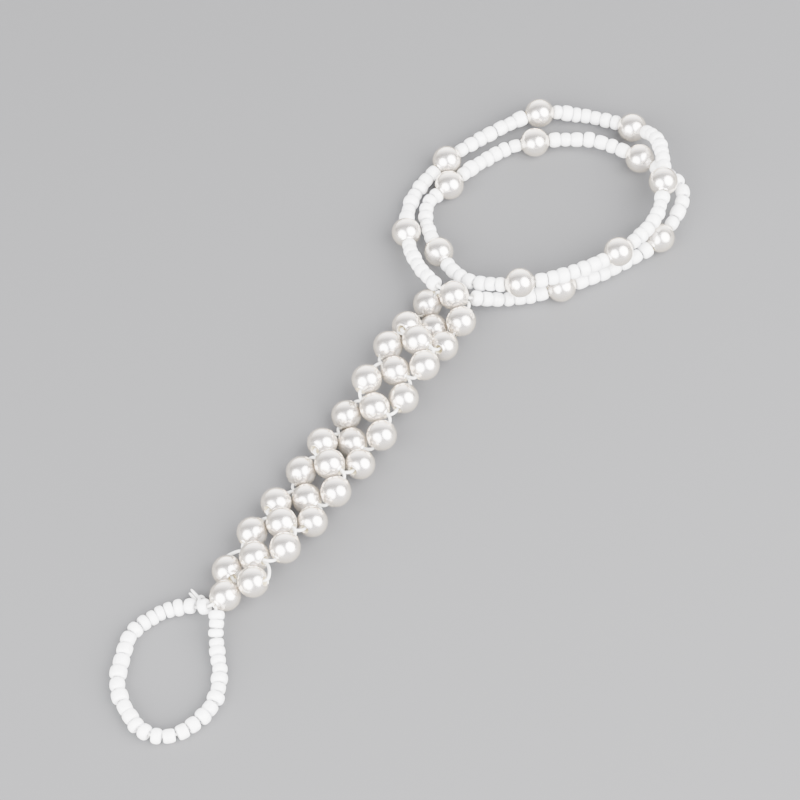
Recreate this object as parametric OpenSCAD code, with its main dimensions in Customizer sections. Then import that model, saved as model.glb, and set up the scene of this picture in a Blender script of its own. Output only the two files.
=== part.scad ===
// Barefoot sandal of beads on elastic thread: an ankle string wound twice round,
// a band of pearls for the instep, and a toe loop. It lies on the surface z = 0.

/* [Pearls] */
// Diameter of a pearl
pearl_d = 8; // [7:0.1:8.1]
// Diameter of the hole through a pearl
pearl_bore = 2.2; // [2.1:0.1:2.8]
// Gap between two pearls that lie against each other in the band
pearl_gap = 0.3; // [0.2:0.05:0.6]

/* [Glass beads] */
// Diameter of the widest glass beads
glass_d = 4.2; // [3.6:0.1:4.3]
// Diameter of the hole through a glass bead
glass_bore = 1.6; // [1.5:0.1:1.9]
// Radius that rounds the rims of a glass bead
glass_round = 0.9; // [0.5:0.05:1]
// Gap between two beads that are neighbours on a string
glass_gap = 0.2; // [0.15:0.01:0.25]
// Glass beads between two pearls of the ankle string
glass_count = 7; // [6:1:8]
// Glass beads round the toe loop
toe_count = 34; // [30:1:36]

/* [Elastic thread] */
// Diameter of the elastic thread
thread_d = 0.8; // [0.5:0.05:0.85]
// Gap between two threads that lie side by side
thread_gap = 0.2; // [0.15:0.05:0.3]
// Length of each cut end beyond the knot
cut_end = 3.4; // [1:0.2:5]

/* [Hidden] */
// Lengths of the glass beads in turn, as shares of the longest
glass_lengths = [1, 0.84, 0.94, 0.78, 1, 0.9, 0.82, 0.96, 0.88, 1, 0.8, 0.92, 0.98];
// The same for the beads of the toe loop, from its side under the band and round to the knot
toe_lengths = [
    0.66, 0.64, 0.62, 0.62, 0.7, 0.7, 0.7, 0.76, 0.7, 0.8, 0.86, 0.86,
    0.9, 0.86, 0.96, 0.8, 0.84, 0.72, 0.82, 0.94, 0.94, 1, 0.92, 1,
    0.92, 0.95, 0.76, 0.72, 0.64, 0.66, 0.64, 0.74, 0.82, 0.74
];
// Diameters of the glass beads in turn, as shares of the widest
glass_widths = [1, 0.94, 0.98, 0.9, 1, 0.96, 0.92, 0.98, 0.93, 1, 0.95];

// Place of the pearl that joins the ankle string and the band: x and y
join_at = [10.83, 30.18];
// Cross pearls of the band from the ankle to the toe loop.
// Columns: x and y from the join, and the room under the pearl, all in pearl steps
band_route = [
    [0, 0, 0.55],
    [-0.65, -0.95, 0],
    [-1.2, -1.95, 0.88],
    [-1.9, -2.9, 0.54],
    [-2.55, -4.25, 0.5],
    [-3.25, -5.25, 0],
    [-3.95, -6.35, 0.54],
    [-4.65, -7.35, 0.08],
    [-5.4, -8.5, 0.62],
    [-6.2, -9.6, 0.46],
    [-7.08, -10.82, 0.2]
];
// Side pearls of the band, a row for each of its units.
// Columns: how far the left and the right pearl swing above the level, in degrees
band_swing = [
    [-22, 18], [0, -8], [-15, 15], [12, -8], [-15, 12],
    [0, -2], [-17, 16], [-8, -2], [-24, 20], [-31, 30]
];
// Ankle string from the join and back to it, twice round. Rows: the middle of the glass beads
// and the pearl after them, in turn. Columns: x and y from the join, and the room underneath
ankle_route = [
    [-8.8, 8.7, 6.1], [-12.8, 23.5, 0.9],
    [-10.3, 37.5, 0.9], [-1.4, 48.8, 0],
    [10.8, 58, 1.9], [24.9, 64.7, 1],
    [38.6, 65.5, 0.3], [51, 60.3, 0],
    [57.6, 52, 6.5], [58.2, 37.2, 5.8],
    [55.2, 24.4, 7.6], [44.9, 13.9, 5.2],
    [32, 6.3, 8.1], [17.8, 3.1, 6],
    [4, 6, 4.7], [-3.9, 16.8, 1],
    [-7.4, 31.4, 1.9], [-0.8, 40.2, 0],
    [12.6, 52, 0.8], [23.4, 55.1, 0],
    [38.9, 56.1, 1.6], [52.7, 49.3, 0.2],
    [63.8, 36.9, 3.5], [57, 22.2, 0],
    [44.1, 13, 0.8], [29.3, 5.8, 0],
    [14.6, 1.9, 1.9]
];
// Direction of the hole through the last cross pearl, down into the toe loop
toe_axis = [-0.66, -0.74, 0.08];
// Toe loop, from the last cross pearl round and back to it.
// Columns: x and y from that pearl, and the room under the bead
toe_route = [
    [-1.9, -5.5, 3.4], [-2.1, -9.2, 1.7], [-1.8, -13.4, 0.2], [-0.9, -20, 0],
    [-1.7, -27.3, 0], [-5.6, -32.9, 0], [-12, -37, 0], [-18.7, -36.3, 0],
    [-23.3, -31.2, 0], [-26.2, -23.6, 0], [-25.5, -16, 0], [-23.4, -8.9, 0],
    [-17.6, -3.8, 0], [-10.7, -1.5, 0.4], [-6.1, -2.4, 1.6]
];
// Glass beads between the start of the toe loop and the knot
knot_after = 33;
// Turns of one thread round the other in the knot, and the length they take
knot_turns = 0.75;
knot_length = 1.8 * thread_d;
// Lean of the knot to its left, and its slope down behind the beads
knot_lean = 0.7;
knot_slope = 0.9;
// Lean and slope of the cut ends, to the left and up
end_lean = 0.8;
end_slope = 1.5;
// How far a bend of the band's thread keeps its heading: as a share of its reach, and in mm at the join
band_pull = 0.28;
join_pull = 0.7;
toe_pull = 1;
// How far the holes of the first left and right side pearl turn to the hole of the join
join_turn = [1.5, 0.2];

// Samples of a route between two of its points, and sides of a thread
route_parts = 10;
thread_sides = 6;
$fn = 48;

pearl_step = pearl_d + pearl_gap;
lane = (thread_d + thread_gap) / 2;
mouth = sqrt(pow(pearl_d / 2, 2) - pow(pearl_bore / 2, 2));
up = [0, 0, 1];
band_units = len(band_swing);
ankle_pearls = (len(ankle_route) - 1) / 2;

function unit(v) = v / norm(v);
function across(v, axis) = unit(v - (v * axis) * axis);
function sum(v, n = 0) = n < len(v) ? v[n] + sum(v, n + 1) : 0;

// Places and holes of the pearls of the band
function cross_at(k) =
    [join_at.x + pearl_step * band_route[k].x,
     join_at.y + pearl_step * band_route[k].y,
     pearl_d / 2 + pearl_step * band_route[k].z];
function band_down(k) = unit(cross_at(k + 1) - cross_at(k));
function side_at(k, hand) =
    let (a = cross_at(k),
         b = cross_at(k + 1),
         left = unit(cross(band_down(k), up)),
         raised = cross(left, band_down(k)),
         reach = sqrt(pow(pearl_step, 2) - pow(norm(b - a) / 2, 2)),
         swing = band_swing[k][hand > 0 ? 0 : 1])
    (a + b) / 2 + reach * (hand * cos(swing) * left + sin(swing) * raised);
last_middle = (side_at(band_units - 1, 1) + side_at(band_units - 1, -1) + cross_at(band_units)) / 3;
function join_mouth(hand) = cross_at(0) - hand * mouth * cross_axis(0) - lane * cross_up(0);
function side_axis(k, hand) =
    k == 0 ? unit(band_down(0) + join_turn[hand > 0 ? 0 : 1] * unit(side_at(0, hand) - join_mouth(hand))) :
    k < band_units - 1 ? band_down(k) : unit(last_middle - side_at(k, hand));
function cross_axis(k) =
    k == 0 ? unit(ankle_point(len(ankle_route) - 1) - ankle_point(0)) :
    k == band_units ? unit(toe_axis) :
    unit(side_at(k, -1) + side_at(k - 1, -1) - side_at(k, 1) - side_at(k - 1, 1));
function cross_up(k) = k == 0 ? across(up - band_down(0), cross_axis(0)) :
    unit(cross(band_down(k - 1) + band_down(k), cross_axis(k)));

// Curves: a smooth line through points, and its length so far at each sample
function smooth(a, b, c, d, t) =
    (2 * b + (c - a) * t + (2 * a - 5 * b + 4 * c - d) * t * t + (3 * b - 3 * c + d - a) * t * t * t) / 2;
function ring_line(p) =
    let (n = len(p))
    [for (i = [0 : n - 1], j = [0 : route_parts - 1])
        smooth(p[(i + n - 1) % n], p[i], p[(i + 1) % n], p[(i + 2) % n], j / route_parts), p[0]];
function open_line(p) =
    let (n = len(p),
         q = concat([2 * p[0] - p[1]], p, [2 * p[n - 1] - p[n - 2]]))
    [for (i = [0 : n - 2], j = [0 : route_parts - 1])
        smooth(q[i], q[i + 1], q[i + 2], q[i + 3], j / route_parts), p[n - 1]];
function run(c) =
    [for (i = 0, s = 0; i < len(c); i = i + 1, s = s + (i < len(c) ? norm(c[i] - c[i - 1]) : 0)) s];
function tables(c, s) = [for (axis = [0 : 2]) [for (i = [0 : len(c) - 1]) [s[i], c[i][axis]]]];
function at(line, s) = [for (axis = [0 : 2]) lookup(s, line[axis])];
function heading(line, s) = unit(at(line, s + 1.2) - at(line, s - 1.2));

// Glass beads that fill a stretch of a string, further apart where it bends.
// Columns: middle, length and diameter
function glass_row(line, from, to, count, first, lengths) =
    let (shares = [for (j = [0 : count - 1]) lengths[(first + j) % len(lengths)]],
         pitch = (to - from) / count,
         gaps = [for (j = [1 : count])
             let (s = from + j * pitch,
                  turn = norm(heading(line, s + pitch / 2) - heading(line, s - pitch / 2)))
             j == count ? 0 : glass_gap + (glass_d / 2 - glass_round) * turn],
         longest = (to - from - sum(gaps)) / sum(shares))
    [for (j = 0, s = from; j < count; s = s + longest * shares[j] + gaps[j], j = j + 1)
        [s + longest * shares[j] / 2, longest * shares[j],
         glass_d * glass_widths[(first + j) % len(glass_widths)]]];

// Ankle string
function ankle_point(i) =
    [join_at.x + ankle_route[i].x, join_at.y + ankle_route[i].y,
     (i % 2 == 0 ? glass_d : pearl_d) / 2 + ankle_route[i].z];
join_knot = cross_at(0) + lane * cross_up(0);
ankle_knots = concat([join_knot], [for (i = [0 : len(ankle_route) - 1]) ankle_point(i)]);
ankle_curve = ring_line(ankle_knots);
ankle_run = run(ankle_curve);
ankle_line = tables(ankle_curve, ankle_run);
ankle_length = ankle_run[len(ankle_run) - 1];
function ankle_pearl_s(i) = ankle_run[2 * i * route_parts];
function ankle_room(i) =
    pearl_d / 2 + (i % (ankle_pearls + 1) == 0 ? thread_d + 2 * thread_gap : glass_gap);
ankle_glass = [for (i = [0 : ankle_pearls])
    each glass_row(ankle_line, ankle_pearl_s(i) + ankle_room(i),
                   ankle_pearl_s(i + 1) - ankle_room(i + 1), glass_count, i * glass_count, glass_lengths)];

// Toe loop
last_pearl = cross_at(band_units);
toe_down = cross_axis(band_units);
toe_left = unit(cross(toe_down, up));
toe_mouth = last_pearl + mouth * toe_down;
toe_knots = concat(
    [toe_mouth - lane * toe_left],
    [for (p = toe_route) [last_pearl.x + p.x, last_pearl.y + p.y, glass_d / 2 + p.z]],
    [toe_mouth + lane * toe_left]);
toe_curve = open_line(toe_knots);
toe_run = run(toe_curve);
toe_line = tables(toe_curve, toe_run);
toe_length = toe_run[len(toe_run) - 1];
toe_rooms = [1.3, 1.8];
knot_room = thread_d + thread_gap + 0.2;
toe_glass_all =
    glass_row(toe_line, toe_rooms[0], toe_length - toe_rooms[1] - knot_room, toe_count, 0, toe_lengths);
toe_glass = [for (j = [0 : toe_count - 1])
    toe_glass_all[j] + [j < knot_after ? 0 : knot_room, 0, 0]];
knot_s = (toe_glass[knot_after - 1][0] + toe_glass[knot_after - 1][1] / 2
          + toe_glass[knot_after][0] - toe_glass[knot_after][1] / 2) / 2;

// A bend from place a, heading da, to place b, heading db. Its pulls are lengths along the headings
function bend(a, da, b, db, pull_a, pull_b) =
    [for (t = [0.2 : 0.2 : 0.81])
        pow(1 - t, 3) * a + 3 * pow(1 - t, 2) * t * (a + pull_a * da)
        + 3 * (1 - t) * t * t * (b - pull_b * db) + pow(t, 3) * b];

// Points of a thread in a pearl, and in a glass bead of a string
function through(place, along) = [place - mouth * along, place + mouth * along];
function drilled(line, bead) =
    [for (side = [-1, 1]) at(line, bead[0]) + 0.42 * side * bead[1] * heading(line, bead[0])];
ankle_thread = concat(
    through(join_knot, -cross_axis(0)),
    [for (i = [0 : ankle_pearls])
        each concat(
            [for (j = [0 : glass_count - 1]) each drilled(ankle_line, ankle_glass[i * glass_count + j])],
            i == ankle_pearls ? []
                : through(at(ankle_line, ankle_pearl_s(i + 1)), heading(ankle_line, ankle_pearl_s(i + 1))))]);

// Passes of one run of the band's thread, from the toe loop up to the join.
// Columns: middle of the pass, and its direction
function band_run(from_left) =
    let (level = from_left ? lane : -lane)
    concat(
        [[last_pearl + level * toe_left, -toe_down]],
        [for (k = [band_units - 1 : -1 : 0])
            let (hand = (k % 2 == 1) == from_left ? 1 : -1)
            each [[side_at(k, hand), -side_axis(k, hand)],
                  [cross_at(k) + (k == 0 ? -lane : level) * cross_up(k), hand * cross_axis(k)]]]);
left_run = band_run(true);
right_run = band_run(false);
join_pass = len(left_run) - 1;
band_passes = concat(left_run,
    [for (i = [join_pass - 1 : -1 : 0]) [right_run[i][0], -right_run[i][1]]]);
function pull(i, reach) =
    i == join_pass ? join_pull : i == 0 || i == 2 * join_pass ? toe_pull : band_pull * reach;
band_path = [for (i = [0 : len(band_passes) - 1])
    let (middle = band_passes[i][0],
         along = band_passes[i][1],
         exit = middle + mouth * along,
         next = band_passes[min(i + 1, len(band_passes) - 1)],
         entry = next[0] - mouth * next[1],
         reach = norm(entry - exit))
    each concat(
        [middle - mouth * along, exit],
        i == len(band_passes) - 1 ? []
            : bend(exit, along, entry, next[1], pull(i, reach), pull(i + 1, reach)))];

// Knot: both threads leave the toe loop between two glass beads, one over the other.
// Then the upper one winds round the lower one, and both are cut
knot_at = at(toe_line, knot_s);
knot_along = heading(toe_line, knot_s);
knot_out = unit(cross(up, knot_along));
knot_rise = cross(knot_along, knot_out);
knot_axis = unit(knot_out - knot_lean * knot_along - knot_slope * up);
knot_side = unit(cross(knot_axis, up));
knot_up = cross(knot_side, knot_axis);
end_axis = unit(knot_axis - end_lean * knot_along + end_slope * up);
knot_start = knot_at - lane * knot_rise + glass_d / 2 * knot_out + 0.8 * knot_axis;
knot_end = knot_start + knot_length * knot_axis;
winding = [for (i = [0 : 20])
    let (t = i / 20,
         a = 360 * knot_turns * t * t * (3 - 2 * t))
    knot_start + knot_length * t * knot_axis + 2 * lane * (cos(a) * knot_up + sin(a) * knot_side)];
// Way out of the loop: hand 1 from the bead before the knot and low, -1 from the bead after it and high
function way_out(hand) =
    let (slack = (glass_bore - thread_d) / 2,
         bead = toe_glass[hand > 0 ? knot_after - 1 : knot_after],
         along = hand * heading(toe_line, bead[0]),
         a = at(toe_line, bead[0]) + 0.42 * bead[1] * along - 0.4 * hand * slack * up,
         b = knot_at - 1.2 * hand * lane * knot_rise + glass_d / 4 * knot_out)
    concat([a], bend(a, along, b, knot_out, 0.7 * knot_room, glass_d / 6), [b],
           [knot_at - 1.2 * hand * lane * knot_rise + glass_d / 2 * knot_out]);
low_end = concat(way_out(1), [knot_start, knot_end, knot_end + cut_end * end_axis]);
high_end = concat(way_out(-1), winding, [winding[20] + 0.75 * cut_end * end_axis]);
function back(p) = [for (i = [len(p) - 1 : -1 : 0]) p[i]];
toe_start = [for (j = [0 : knot_after - 1]) each drilled(toe_line, toe_glass[j])];
toe_end = [for (j = [knot_after : toe_count - 1]) each drilled(toe_line, toe_glass[j])];
band_thread = concat(
    back(high_end),
    [for (i = [1 : len(toe_end) - 1]) toe_end[i]],
    [toe_mouth + lane * toe_left + 0.3 * toe_down],
    band_path,
    [toe_mouth - lane * toe_left + 0.3 * toe_down],
    [for (i = [0 : len(toe_start) - 2]) toe_start[i]],
    low_end);

// A thread of the same thickness along points
module thread(points, closed) {
    n = len(points);
    function turn(i) = closed ? (i + n) % n : max(0, min(i, n - 1));
    ahead = [for (i = [0 : n - 1]) unit(points[turn(i + 1)] - points[turn(i - 1)])];
    across = closed ? [for (v = ahead) unit(cross(v, up))]
        : [for (i = 0, v = unit(cross(ahead[0], up)); i < n;
                i = i + 1, v = i < n ? unit(v - (v * ahead[i]) * ahead[i]) : v) v];
    rings = [for (i = [0 : n - 1], a = [0 : 360 / thread_sides : 359])
        points[i] + thread_d / 2 * (cos(a) * across[i] + sin(a) * cross(ahead[i], across[i]))];
    walls = [for (i = [0 : closed ? n - 1 : n - 2], j = [0 : thread_sides - 1])
        let (a = i * thread_sides + j,
             b = i * thread_sides + (j + 1) % thread_sides,
             c = turn(i + 1) * thread_sides + j,
             d = turn(i + 1) * thread_sides + (j + 1) % thread_sides)
        each [[a, c, b], [b, c, d]]];
    ends = closed ? [] : [
        [for (j = [0 : thread_sides - 1]) j],
        [for (j = [thread_sides - 1 : -1 : 0]) (n - 1) * thread_sides + j]];
    polyhedron(rings, concat(walls, ends));
}

module aim(place, along) {
    translate(place) rotate([0, acos(along.z), atan2(along.y, along.x)]) children();
}

module pearl(place, along) {
    color("ivory") aim(place, along) difference() {
        sphere(d = pearl_d);
        cylinder(d = pearl_bore, h = pearl_d + 2, center = true);
    }
}

module glass_bead(length, width) {
    rim = min(glass_round, length / 2 - 0.1, (width - glass_bore) / 2 - 0.1);
    difference() {
        rotate_extrude() {
            translate([0, -length / 2]) square([width / 2 - rim, length]);
            translate([0, rim - length / 2]) square([width / 2, length - 2 * rim]);
            for (end = [-1, 1])
                translate([width / 2 - rim, end * (length / 2 - rim)]) circle(rim);
        }
        cylinder(d = glass_bore, h = length + 2, center = true);
    }
}

module glass_string(line, beads) {
    color("white") for (bead = beads)
        aim(at(line, bead[0]), heading(line, bead[0])) glass_bead(bead[1], bead[2]);
}

module cross_pearl(k) { pearl(cross_at(k), cross_axis(k)); }
module left_pearl(k) { pearl(side_at(k, 1), side_axis(k, 1)); }
module right_pearl(k) { pearl(side_at(k, -1), side_axis(k, -1)); }
module ankle_pearl(i) { pearl(at(ankle_line, ankle_pearl_s(i)), heading(ankle_line, ankle_pearl_s(i))); }
module ankle_glass_beads() { glass_string(ankle_line, ankle_glass); }
module toe_glass_beads() { glass_string(toe_line, toe_glass); }
module ankle_elastic() {
    color("whitesmoke") thread(ankle_thread, true);
}
module band_elastic() { color("whitesmoke") thread(band_thread, false); }

for (k = [0 : band_units])
    cross_pearl(k);
for (k = [0 : band_units - 1])
    left_pearl(k);
for (k = [0 : band_units - 1])
    right_pearl(k);
for (i = [1 : ankle_pearls])
    ankle_pearl(i);
ankle_glass_beads();
toe_glass_beads();
ankle_elastic();
band_elastic();
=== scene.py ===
"""A barefoot sandal of pearls and glass beads on elastic thread, lying on a pale surface."""
import math
import random

import bmesh
import bpy
import numpy as np
from mathutils import Matrix, Vector


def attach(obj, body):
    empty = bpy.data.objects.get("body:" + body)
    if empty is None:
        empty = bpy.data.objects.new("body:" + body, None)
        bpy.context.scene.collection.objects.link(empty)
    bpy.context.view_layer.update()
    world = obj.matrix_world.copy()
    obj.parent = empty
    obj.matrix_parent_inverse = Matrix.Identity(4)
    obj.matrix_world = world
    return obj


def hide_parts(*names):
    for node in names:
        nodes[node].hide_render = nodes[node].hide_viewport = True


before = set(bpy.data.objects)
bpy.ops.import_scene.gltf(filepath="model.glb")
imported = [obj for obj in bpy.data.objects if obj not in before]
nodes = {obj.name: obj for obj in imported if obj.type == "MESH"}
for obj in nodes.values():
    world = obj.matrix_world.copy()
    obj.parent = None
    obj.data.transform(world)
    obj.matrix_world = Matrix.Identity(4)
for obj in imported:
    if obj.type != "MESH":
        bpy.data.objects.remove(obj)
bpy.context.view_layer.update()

# The surface that the piece lies on, plain and pale, with two soft lamps side by side behind the
# camera and a dim room above. The camera looks down at 58 degrees.
aim = Vector((-0.0037, 0.0023, 0))
look_down = math.radians(58)
camera_distance = 0.736
sight = Vector((0, math.cos(look_down), -math.sin(look_down)))
camera = bpy.data.objects.new("camera", bpy.data.cameras.new("camera"))
camera.location = aim - camera_distance * sight
camera.rotation_euler = (math.pi / 2 - look_down, 0, 0)
camera.data.lens = 124.2
camera.data.sensor_width = 36
camera.data.clip_start = 0.01
bpy.context.scene.collection.objects.link(camera)
bpy.context.scene.camera = camera


def lamp(name, place, width, height, watts):
    light = bpy.data.lights.new(name, "AREA")
    light.shape = "ELLIPSE"
    light.size, light.size_y = width, height
    light.energy = watts
    light.color = (1.0, 0.995, 0.99)
    holder = bpy.data.objects.new(name, light)
    holder.location = place
    holder.rotation_euler = (aim - Vector(place)).to_track_quat("-Z", "Y").to_euler()
    bpy.context.scene.collection.objects.link(holder)


lamp("lamp_right", (0.62, -0.3, 0.63), 1.16, 1.34, 96)
lamp("lamp_left", (-0.6, -0.74, 0.51), 1.32, 1.41, 106)

# The room is grey below, dark across the middle and brighter towards the far end
room = bpy.data.worlds.new("room")
room.use_nodes = True
bpy.context.scene.world = room
sky = room.node_tree.nodes
place = sky.new("ShaderNodeTexCoord")
split = sky.new("ShaderNodeSeparateXYZ")
half = sky.new("ShaderNodeMath")
half.operation = "MULTIPLY_ADD"
half.inputs[1].default_value = half.inputs[2].default_value = 0.5
shade = sky.new("ShaderNodeValToRGB")
for spot, grey in ((0.4, 0.13), (0.52, 0.0), (0.64, 0.0), (0.75, 0.16), (0.87, 0.5)):
    shade.color_ramp.elements.new(spot).color = (grey, grey, 1.03 * grey, 1)
shade.color_ramp.elements[0].color = (0.13, 0.13, 0.135, 1)
shade.color_ramp.elements[-1].color = (1, 1, 1.03, 1)
room.node_tree.links.new(place.outputs["Generated"], split.inputs[0])
room.node_tree.links.new(split.outputs["Y"], half.inputs[0])
room.node_tree.links.new(half.outputs[0], shade.inputs["Fac"])
room.node_tree.links.new(shade.outputs["Color"], sky["Background"].inputs["Color"])
sky["Background"].inputs["Strength"].default_value = 8.5

table = bmesh.new()
bmesh.ops.create_grid(table, x_segments=2, y_segments=2, size=1.5)
bmesh.ops.translate(table, verts=table.verts, vec=(0, 0, -0.00005))
surface = bpy.data.objects.new("surface", bpy.data.meshes.new("surface"))
table.to_mesh(surface.data)
table.free()
bpy.context.scene.collection.objects.link(surface)
paper = bpy.data.materials.new("paper")
paper.use_nodes = True
shader = paper.node_tree.nodes["Principled BSDF"].inputs
shader["Base Color"].default_value = (0.078, 0.078, 0.081, 1)
shader["Roughness"].default_value = 0.75
surface.data.materials.append(paper)

# Pearls: solid plastic balls, moulded with a hole and sprayed with several coats of pearl lacquer
# that leave a warm white glow under a hard gloss. The lacquer ends in a ridge round the hole, which
# shows the bare beige plastic, given a faint painted glow for the light that comes through it.
pearl_radius = 0.004
pearl_hole = 0.0011
hole_depth = 0.0036
ridge_width = 0.00056


def mix(tree, factor, first, second):
    blend = tree.nodes.new("ShaderNodeMix")
    blend.data_type = "RGBA"
    tree.links.new(factor, blend.inputs["Factor"])
    for socket, value in ((blend.inputs["A"], first), (blend.inputs["B"], second)):
        if isinstance(value, tuple):
            socket.default_value = value
        else:
            tree.links.new(value, socket)
    return blend.outputs["Result"]


def noise(tree, scale, detail):
    spot = tree.nodes.new("ShaderNodeTexCoord")
    cloud = tree.nodes.new("ShaderNodeTexNoise")
    cloud.inputs["Scale"].default_value = scale
    cloud.inputs["Detail"].default_value = detail
    tree.links.new(spot.outputs["Object"], cloud.inputs["Vector"])
    return cloud.outputs["Fac"]


def bumps(tree, height, distance, strength):
    bump = tree.nodes.new("ShaderNodeBump")
    bump.inputs["Distance"].default_value = distance
    bump.inputs["Strength"].default_value = strength
    tree.links.new(height, bump.inputs["Height"])
    tree.links.new(bump.outputs["Normal"], tree.nodes["Principled BSDF"].inputs["Normal"])


def lacquer():
    made = bpy.data.materials.new("pearl_lacquer")
    made.use_nodes = True
    tree = made.node_tree
    shader = tree.nodes["Principled BSDF"].inputs
    rim = tree.nodes.new("ShaderNodeLayerWeight")
    rim.inputs["Blend"].default_value = 0.45
    body = mix(tree, noise(tree, 260, 2), (0.63, 0.593, 0.577, 1), (0.59, 0.562, 0.553, 1))
    tree.links.new(mix(tree, rim.outputs["Facing"], body, (0.96, 0.82, 0.6, 1)), shader["Base Color"])
    shader["Metallic"].default_value = 0.82
    shader["Roughness"].default_value = 0.22
    shader["Coat Weight"].default_value = 1
    shader["Coat Roughness"].default_value = 0.14
    shader["Coat IOR"].default_value = 1.6
    bumps(tree, noise(tree, 900, 3), 0.00002, 0.25)
    return made


def bare_plastic_painted_glow():
    made = bpy.data.materials.new("bare_plastic_painted_glow")
    made.use_nodes = True
    tree = made.node_tree
    shader = tree.nodes["Principled BSDF"].inputs
    tree.links.new(mix(tree, noise(tree, 1500, 2), (0.74, 0.66, 0.46, 1), (0.82, 0.75, 0.56, 1)),
                   shader["Base Color"])
    # Painted glow: a faint emission stands for light that passes through the thin beige plastic
    shader["Emission Color"].default_value = (0.84, 0.76, 0.56, 1)
    shader["Emission Strength"].default_value = 0.15
    shader["Roughness"].default_value = 0.6
    return made


def islands(node):
    """Each solid of a CAD node: its middle, the direction of its hole, its length and its radius."""
    merged = bmesh.new()
    merged.from_mesh(node.data)
    bmesh.ops.remove_doubles(merged, verts=merged.verts, dist=1e-7)
    found, seen = [], set()
    for first in merged.faces:
        if first in seen:
            continue
        seen.add(first)
        group, waiting = [], [first]
        while waiting:
            face = waiting.pop()
            group.append(face)
            for edge in face.edges:
                for other in edge.link_faces:
                    if other not in seen:
                        seen.add(other)
                        waiting.append(other)
        areas = np.array([f.calc_area() for f in group])
        spots = np.array([f.calc_center_median() for f in group])
        middle = (spots * areas[:, None]).sum(0) / areas.sum()
        spread = ((spots - middle) * areas[:, None]).T @ (spots - middle)
        values, ways = np.linalg.eigh(spread)
        odd = 0 if values[1] - values[0] > values[2] - values[1] else 2
        corners = np.array([v.co for f in group for v in f.verts]) - middle
        along = corners @ ways[:, odd]
        out = np.linalg.norm(corners - np.outer(along, ways[:, odd]), axis=1)
        found.append((Vector(middle), Vector(ways[:, odd]), 2 * np.abs(along).max(), out.max()))
    merged.free()
    return found


def turned(outline, steps, bare_below):
    """A drilled bead, spun from its outline of (radius, height). Faces nearer the axis than bare_below
    have the second material."""
    bead = bmesh.new()
    ring = [bead.verts.new((r, 0, z)) for r, z in outline]
    edges = [bead.edges.new((ring[i], ring[(i + 1) % len(ring)])) for i in range(len(ring))]
    bmesh.ops.spin(bead, geom=ring + edges, cent=(0, 0, 0), axis=(0, 0, 1), angle=math.tau, steps=steps,
                   use_merge=True)
    bmesh.ops.remove_doubles(bead, verts=bead.verts, dist=1e-7)
    bmesh.ops.recalc_face_normals(bead, faces=bead.faces)
    for face in bead.faces:
        face.smooth = True
        middle = face.calc_center_median()
        face.material_index = 1 if math.hypot(middle.x, middle.y) < bare_below else 0
    return bead


def seat(bead, middle, along, roll):
    """Puts a bead made at the origin, upright, where a CAD solid is."""
    turn = along.to_track_quat("Z", "Y").to_matrix().to_4x4() @ Matrix.Rotation(roll, 4, "Z")
    bmesh.ops.transform(bead, verts=bead.verts, matrix=Matrix.Translation(middle) @ turn)


def piece(name, shape, materials, node):
    mesh = bpy.data.meshes.new(name)
    shape.to_mesh(mesh)
    shape.free()
    thing = bpy.data.objects.new(name, mesh)
    bpy.context.scene.collection.objects.link(thing)
    for material in materials:
        mesh.materials.append(material)
    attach(thing, "root")
    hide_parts(node)
    return thing


# The ridge: how far out from the hole's wall, and how high above the pearl's middle
ridge = [(0.00003, 0.00374), (0.00012, 0.00388), (0.00024, 0.00393), (0.00037, 0.00387), (0.00047, 0.00375)]
ball_rows = 30
pearl_outline = [(pearl_hole, share * hole_depth) for share in (-1, -1 / 3, 1 / 3, 1)]
pearl_outline += [(pearl_hole + out, height) for out, height in ridge]
tilt_at_hole = math.asin((pearl_hole + ridge_width) / pearl_radius)
for row in range(ball_rows + 1):
    tilt = tilt_at_hole + (math.pi - 2 * tilt_at_hole) * row / ball_rows
    pearl_outline.append((pearl_radius * math.sin(tilt), pearl_radius * math.cos(tilt)))
pearl_outline += [(pearl_hole + out, -height) for out, height in reversed(ridge)]
pearl_finish = [lacquer(), bare_plastic_painted_glow()]
for name in sorted(n for n in nodes if "_pearl_" in n):
    middle, along = islands(nodes[name])[0][:2]
    bead = turned(pearl_outline, 48, pearl_hole + 0.00002)
    seat(bead, middle, along, 0)
    piece("lacquered_" + name, bead, pearl_finish, name)

# Glass beads: slices of a tube of opaque white glass, pressed and tumbled smooth, so their lengths,
# widths and rims differ a little. They sit slightly askew on the thread, rim to rim.
bead_hole = 0.0008
rim_reach = 0.00008
rim_rows = 10


def white_glass():
    made = bpy.data.materials.new("white_glass")
    made.use_nodes = True
    tree = made.node_tree
    shader = tree.nodes["Principled BSDF"].inputs
    tree.links.new(mix(tree, noise(tree, 330, 1), (0.96, 0.96, 0.985, 1), (0.98, 0.98, 0.99, 1)),
                   shader["Base Color"])
    shader["Roughness"].default_value = 0.34
    shader["Subsurface Weight"].default_value = 0.8
    shader["Subsurface Radius"].default_value = (0.003, 0.003, 0.0032)
    shader["Subsurface Scale"].default_value = 1
    shader["Coat Weight"].default_value = 0.25
    shader["Coat Roughness"].default_value = 0.2
    bumps(tree, noise(tree, 700, 2), 0.00004, 0.3)
    return made


def glass_outline(length, radius, bulge):
    """From the hole's wall over one rim, the belly and the other rim. A small bulge makes it squarer."""
    half, wall = length / 2 + rim_reach, radius - bead_hole
    rows = [(bead_hole, -half * 0.7), (bead_hole, 0), (bead_hole, half * 0.7)]
    rows.append((bead_hole + 0.08 * wall, half * 0.93))
    for row in range(rim_rows + 1):
        turn = math.pi * row / rim_rows
        out = 0.3 + 0.7 * math.sin(turn) ** bulge
        height = math.copysign(abs(math.cos(turn)) ** 0.8, math.cos(turn))
        rows.append((bead_hole + wall * out, half * height))
    return rows + [(bead_hole + 0.08 * wall, -half * 0.93)]


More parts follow.
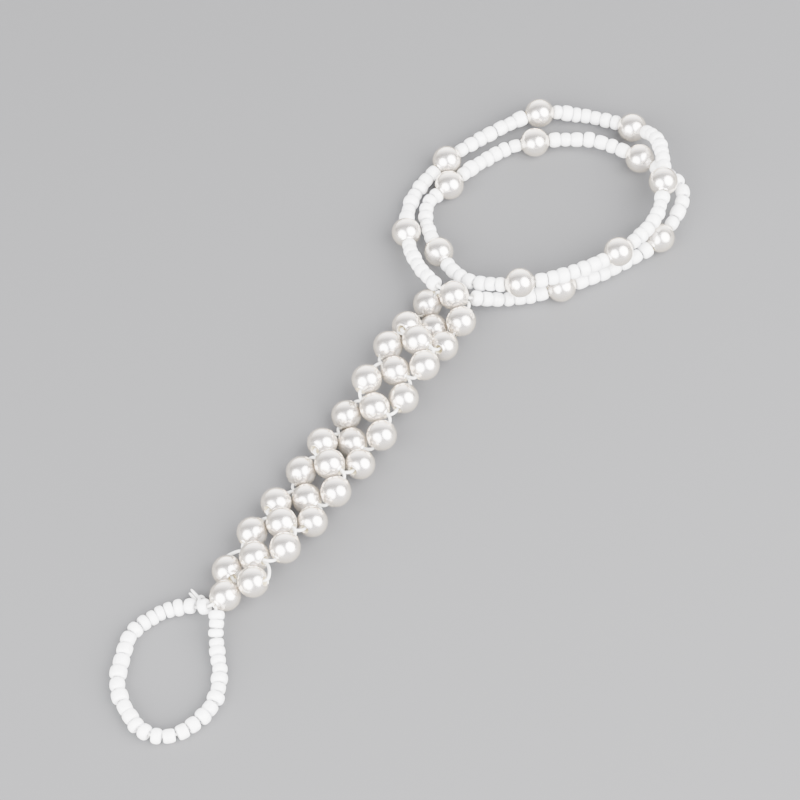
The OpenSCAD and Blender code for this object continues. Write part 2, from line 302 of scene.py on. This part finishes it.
glass = white_glass()
for name in ("ankle_glass_beads", "toe_glass_beads"):
    chance = random.Random(7)
    string = bmesh.new()
    for middle, along, length, radius in islands(nodes[name]):
        bead = turned(glass_outline(length, radius, chance.uniform(0.5, 1.1)), 20, 0)
        wide = chance.uniform(0.94, 1.08)
        bmesh.ops.scale(bead, verts=bead.verts, vec=(wide, wide * chance.uniform(0.97, 1), 1))
        lean = Vector([chance.uniform(-0.05, 0.05) for axis in range(3)])
        slip = Vector([chance.uniform(-0.00012, 0.00012) for axis in range(3)])
        seat(bead, middle + slip, (along + lean).normalized(), chance.uniform(0, math.tau))
        one = bpy.data.meshes.new("bead")
        bead.to_mesh(one)
        bead.free()
        string.from_mesh(one)
        bpy.data.meshes.remove(one)
    piece("pressed_" + name, string, [glass], name)

# Elastic thread: clear, slightly milky stretch cord, drawn round. The ankle string's is a closed
# loop. The band's is tied beside the toe loop and cut off short.


def stretch_cord():
    made = bpy.data.materials.new("stretch_cord")
    made.use_nodes = True
    tree = made.node_tree
    shader = tree.nodes["Principled BSDF"].inputs
    tree.links.new(mix(tree, noise(tree, 600, 2), (0.9, 0.89, 0.86, 1), (0.97, 0.96, 0.94, 1)),
                   shader["Base Color"])
    shader["Roughness"].default_value = 0.35
    shader["Transmission Weight"].default_value = 0.2
    shader["IOR"].default_value = 1.45
    bumps(tree, noise(tree, 1800, 2), 0.00003, 0.3)
    return made


# Rounding a six-sided thread takes this off its radius, so each corner is put out by it first
lost_when_rounded = 0.00008
cord = stretch_cord()
for name in ("ankle_elastic", "band_elastic"):
    tube = bmesh.new()
    tube.from_mesh(nodes[name].data)
    bmesh.ops.remove_doubles(tube, verts=tube.verts, dist=1e-7)
    bmesh.ops.join_triangles(tube, faces=tube.faces, angle_face_threshold=0.9, angle_shape_threshold=1.5)
    for face in tube.faces:
        face.smooth = True
    tube.normal_update()
    for corner in tube.verts:
        corner.co += lost_when_rounded * corner.normal
    thread = piece("drawn_" + name, tube, [cord], name)
    rounder = thread.modifiers.new("rounder", "SUBSURF")
    rounder.levels = rounder.render_levels = 1
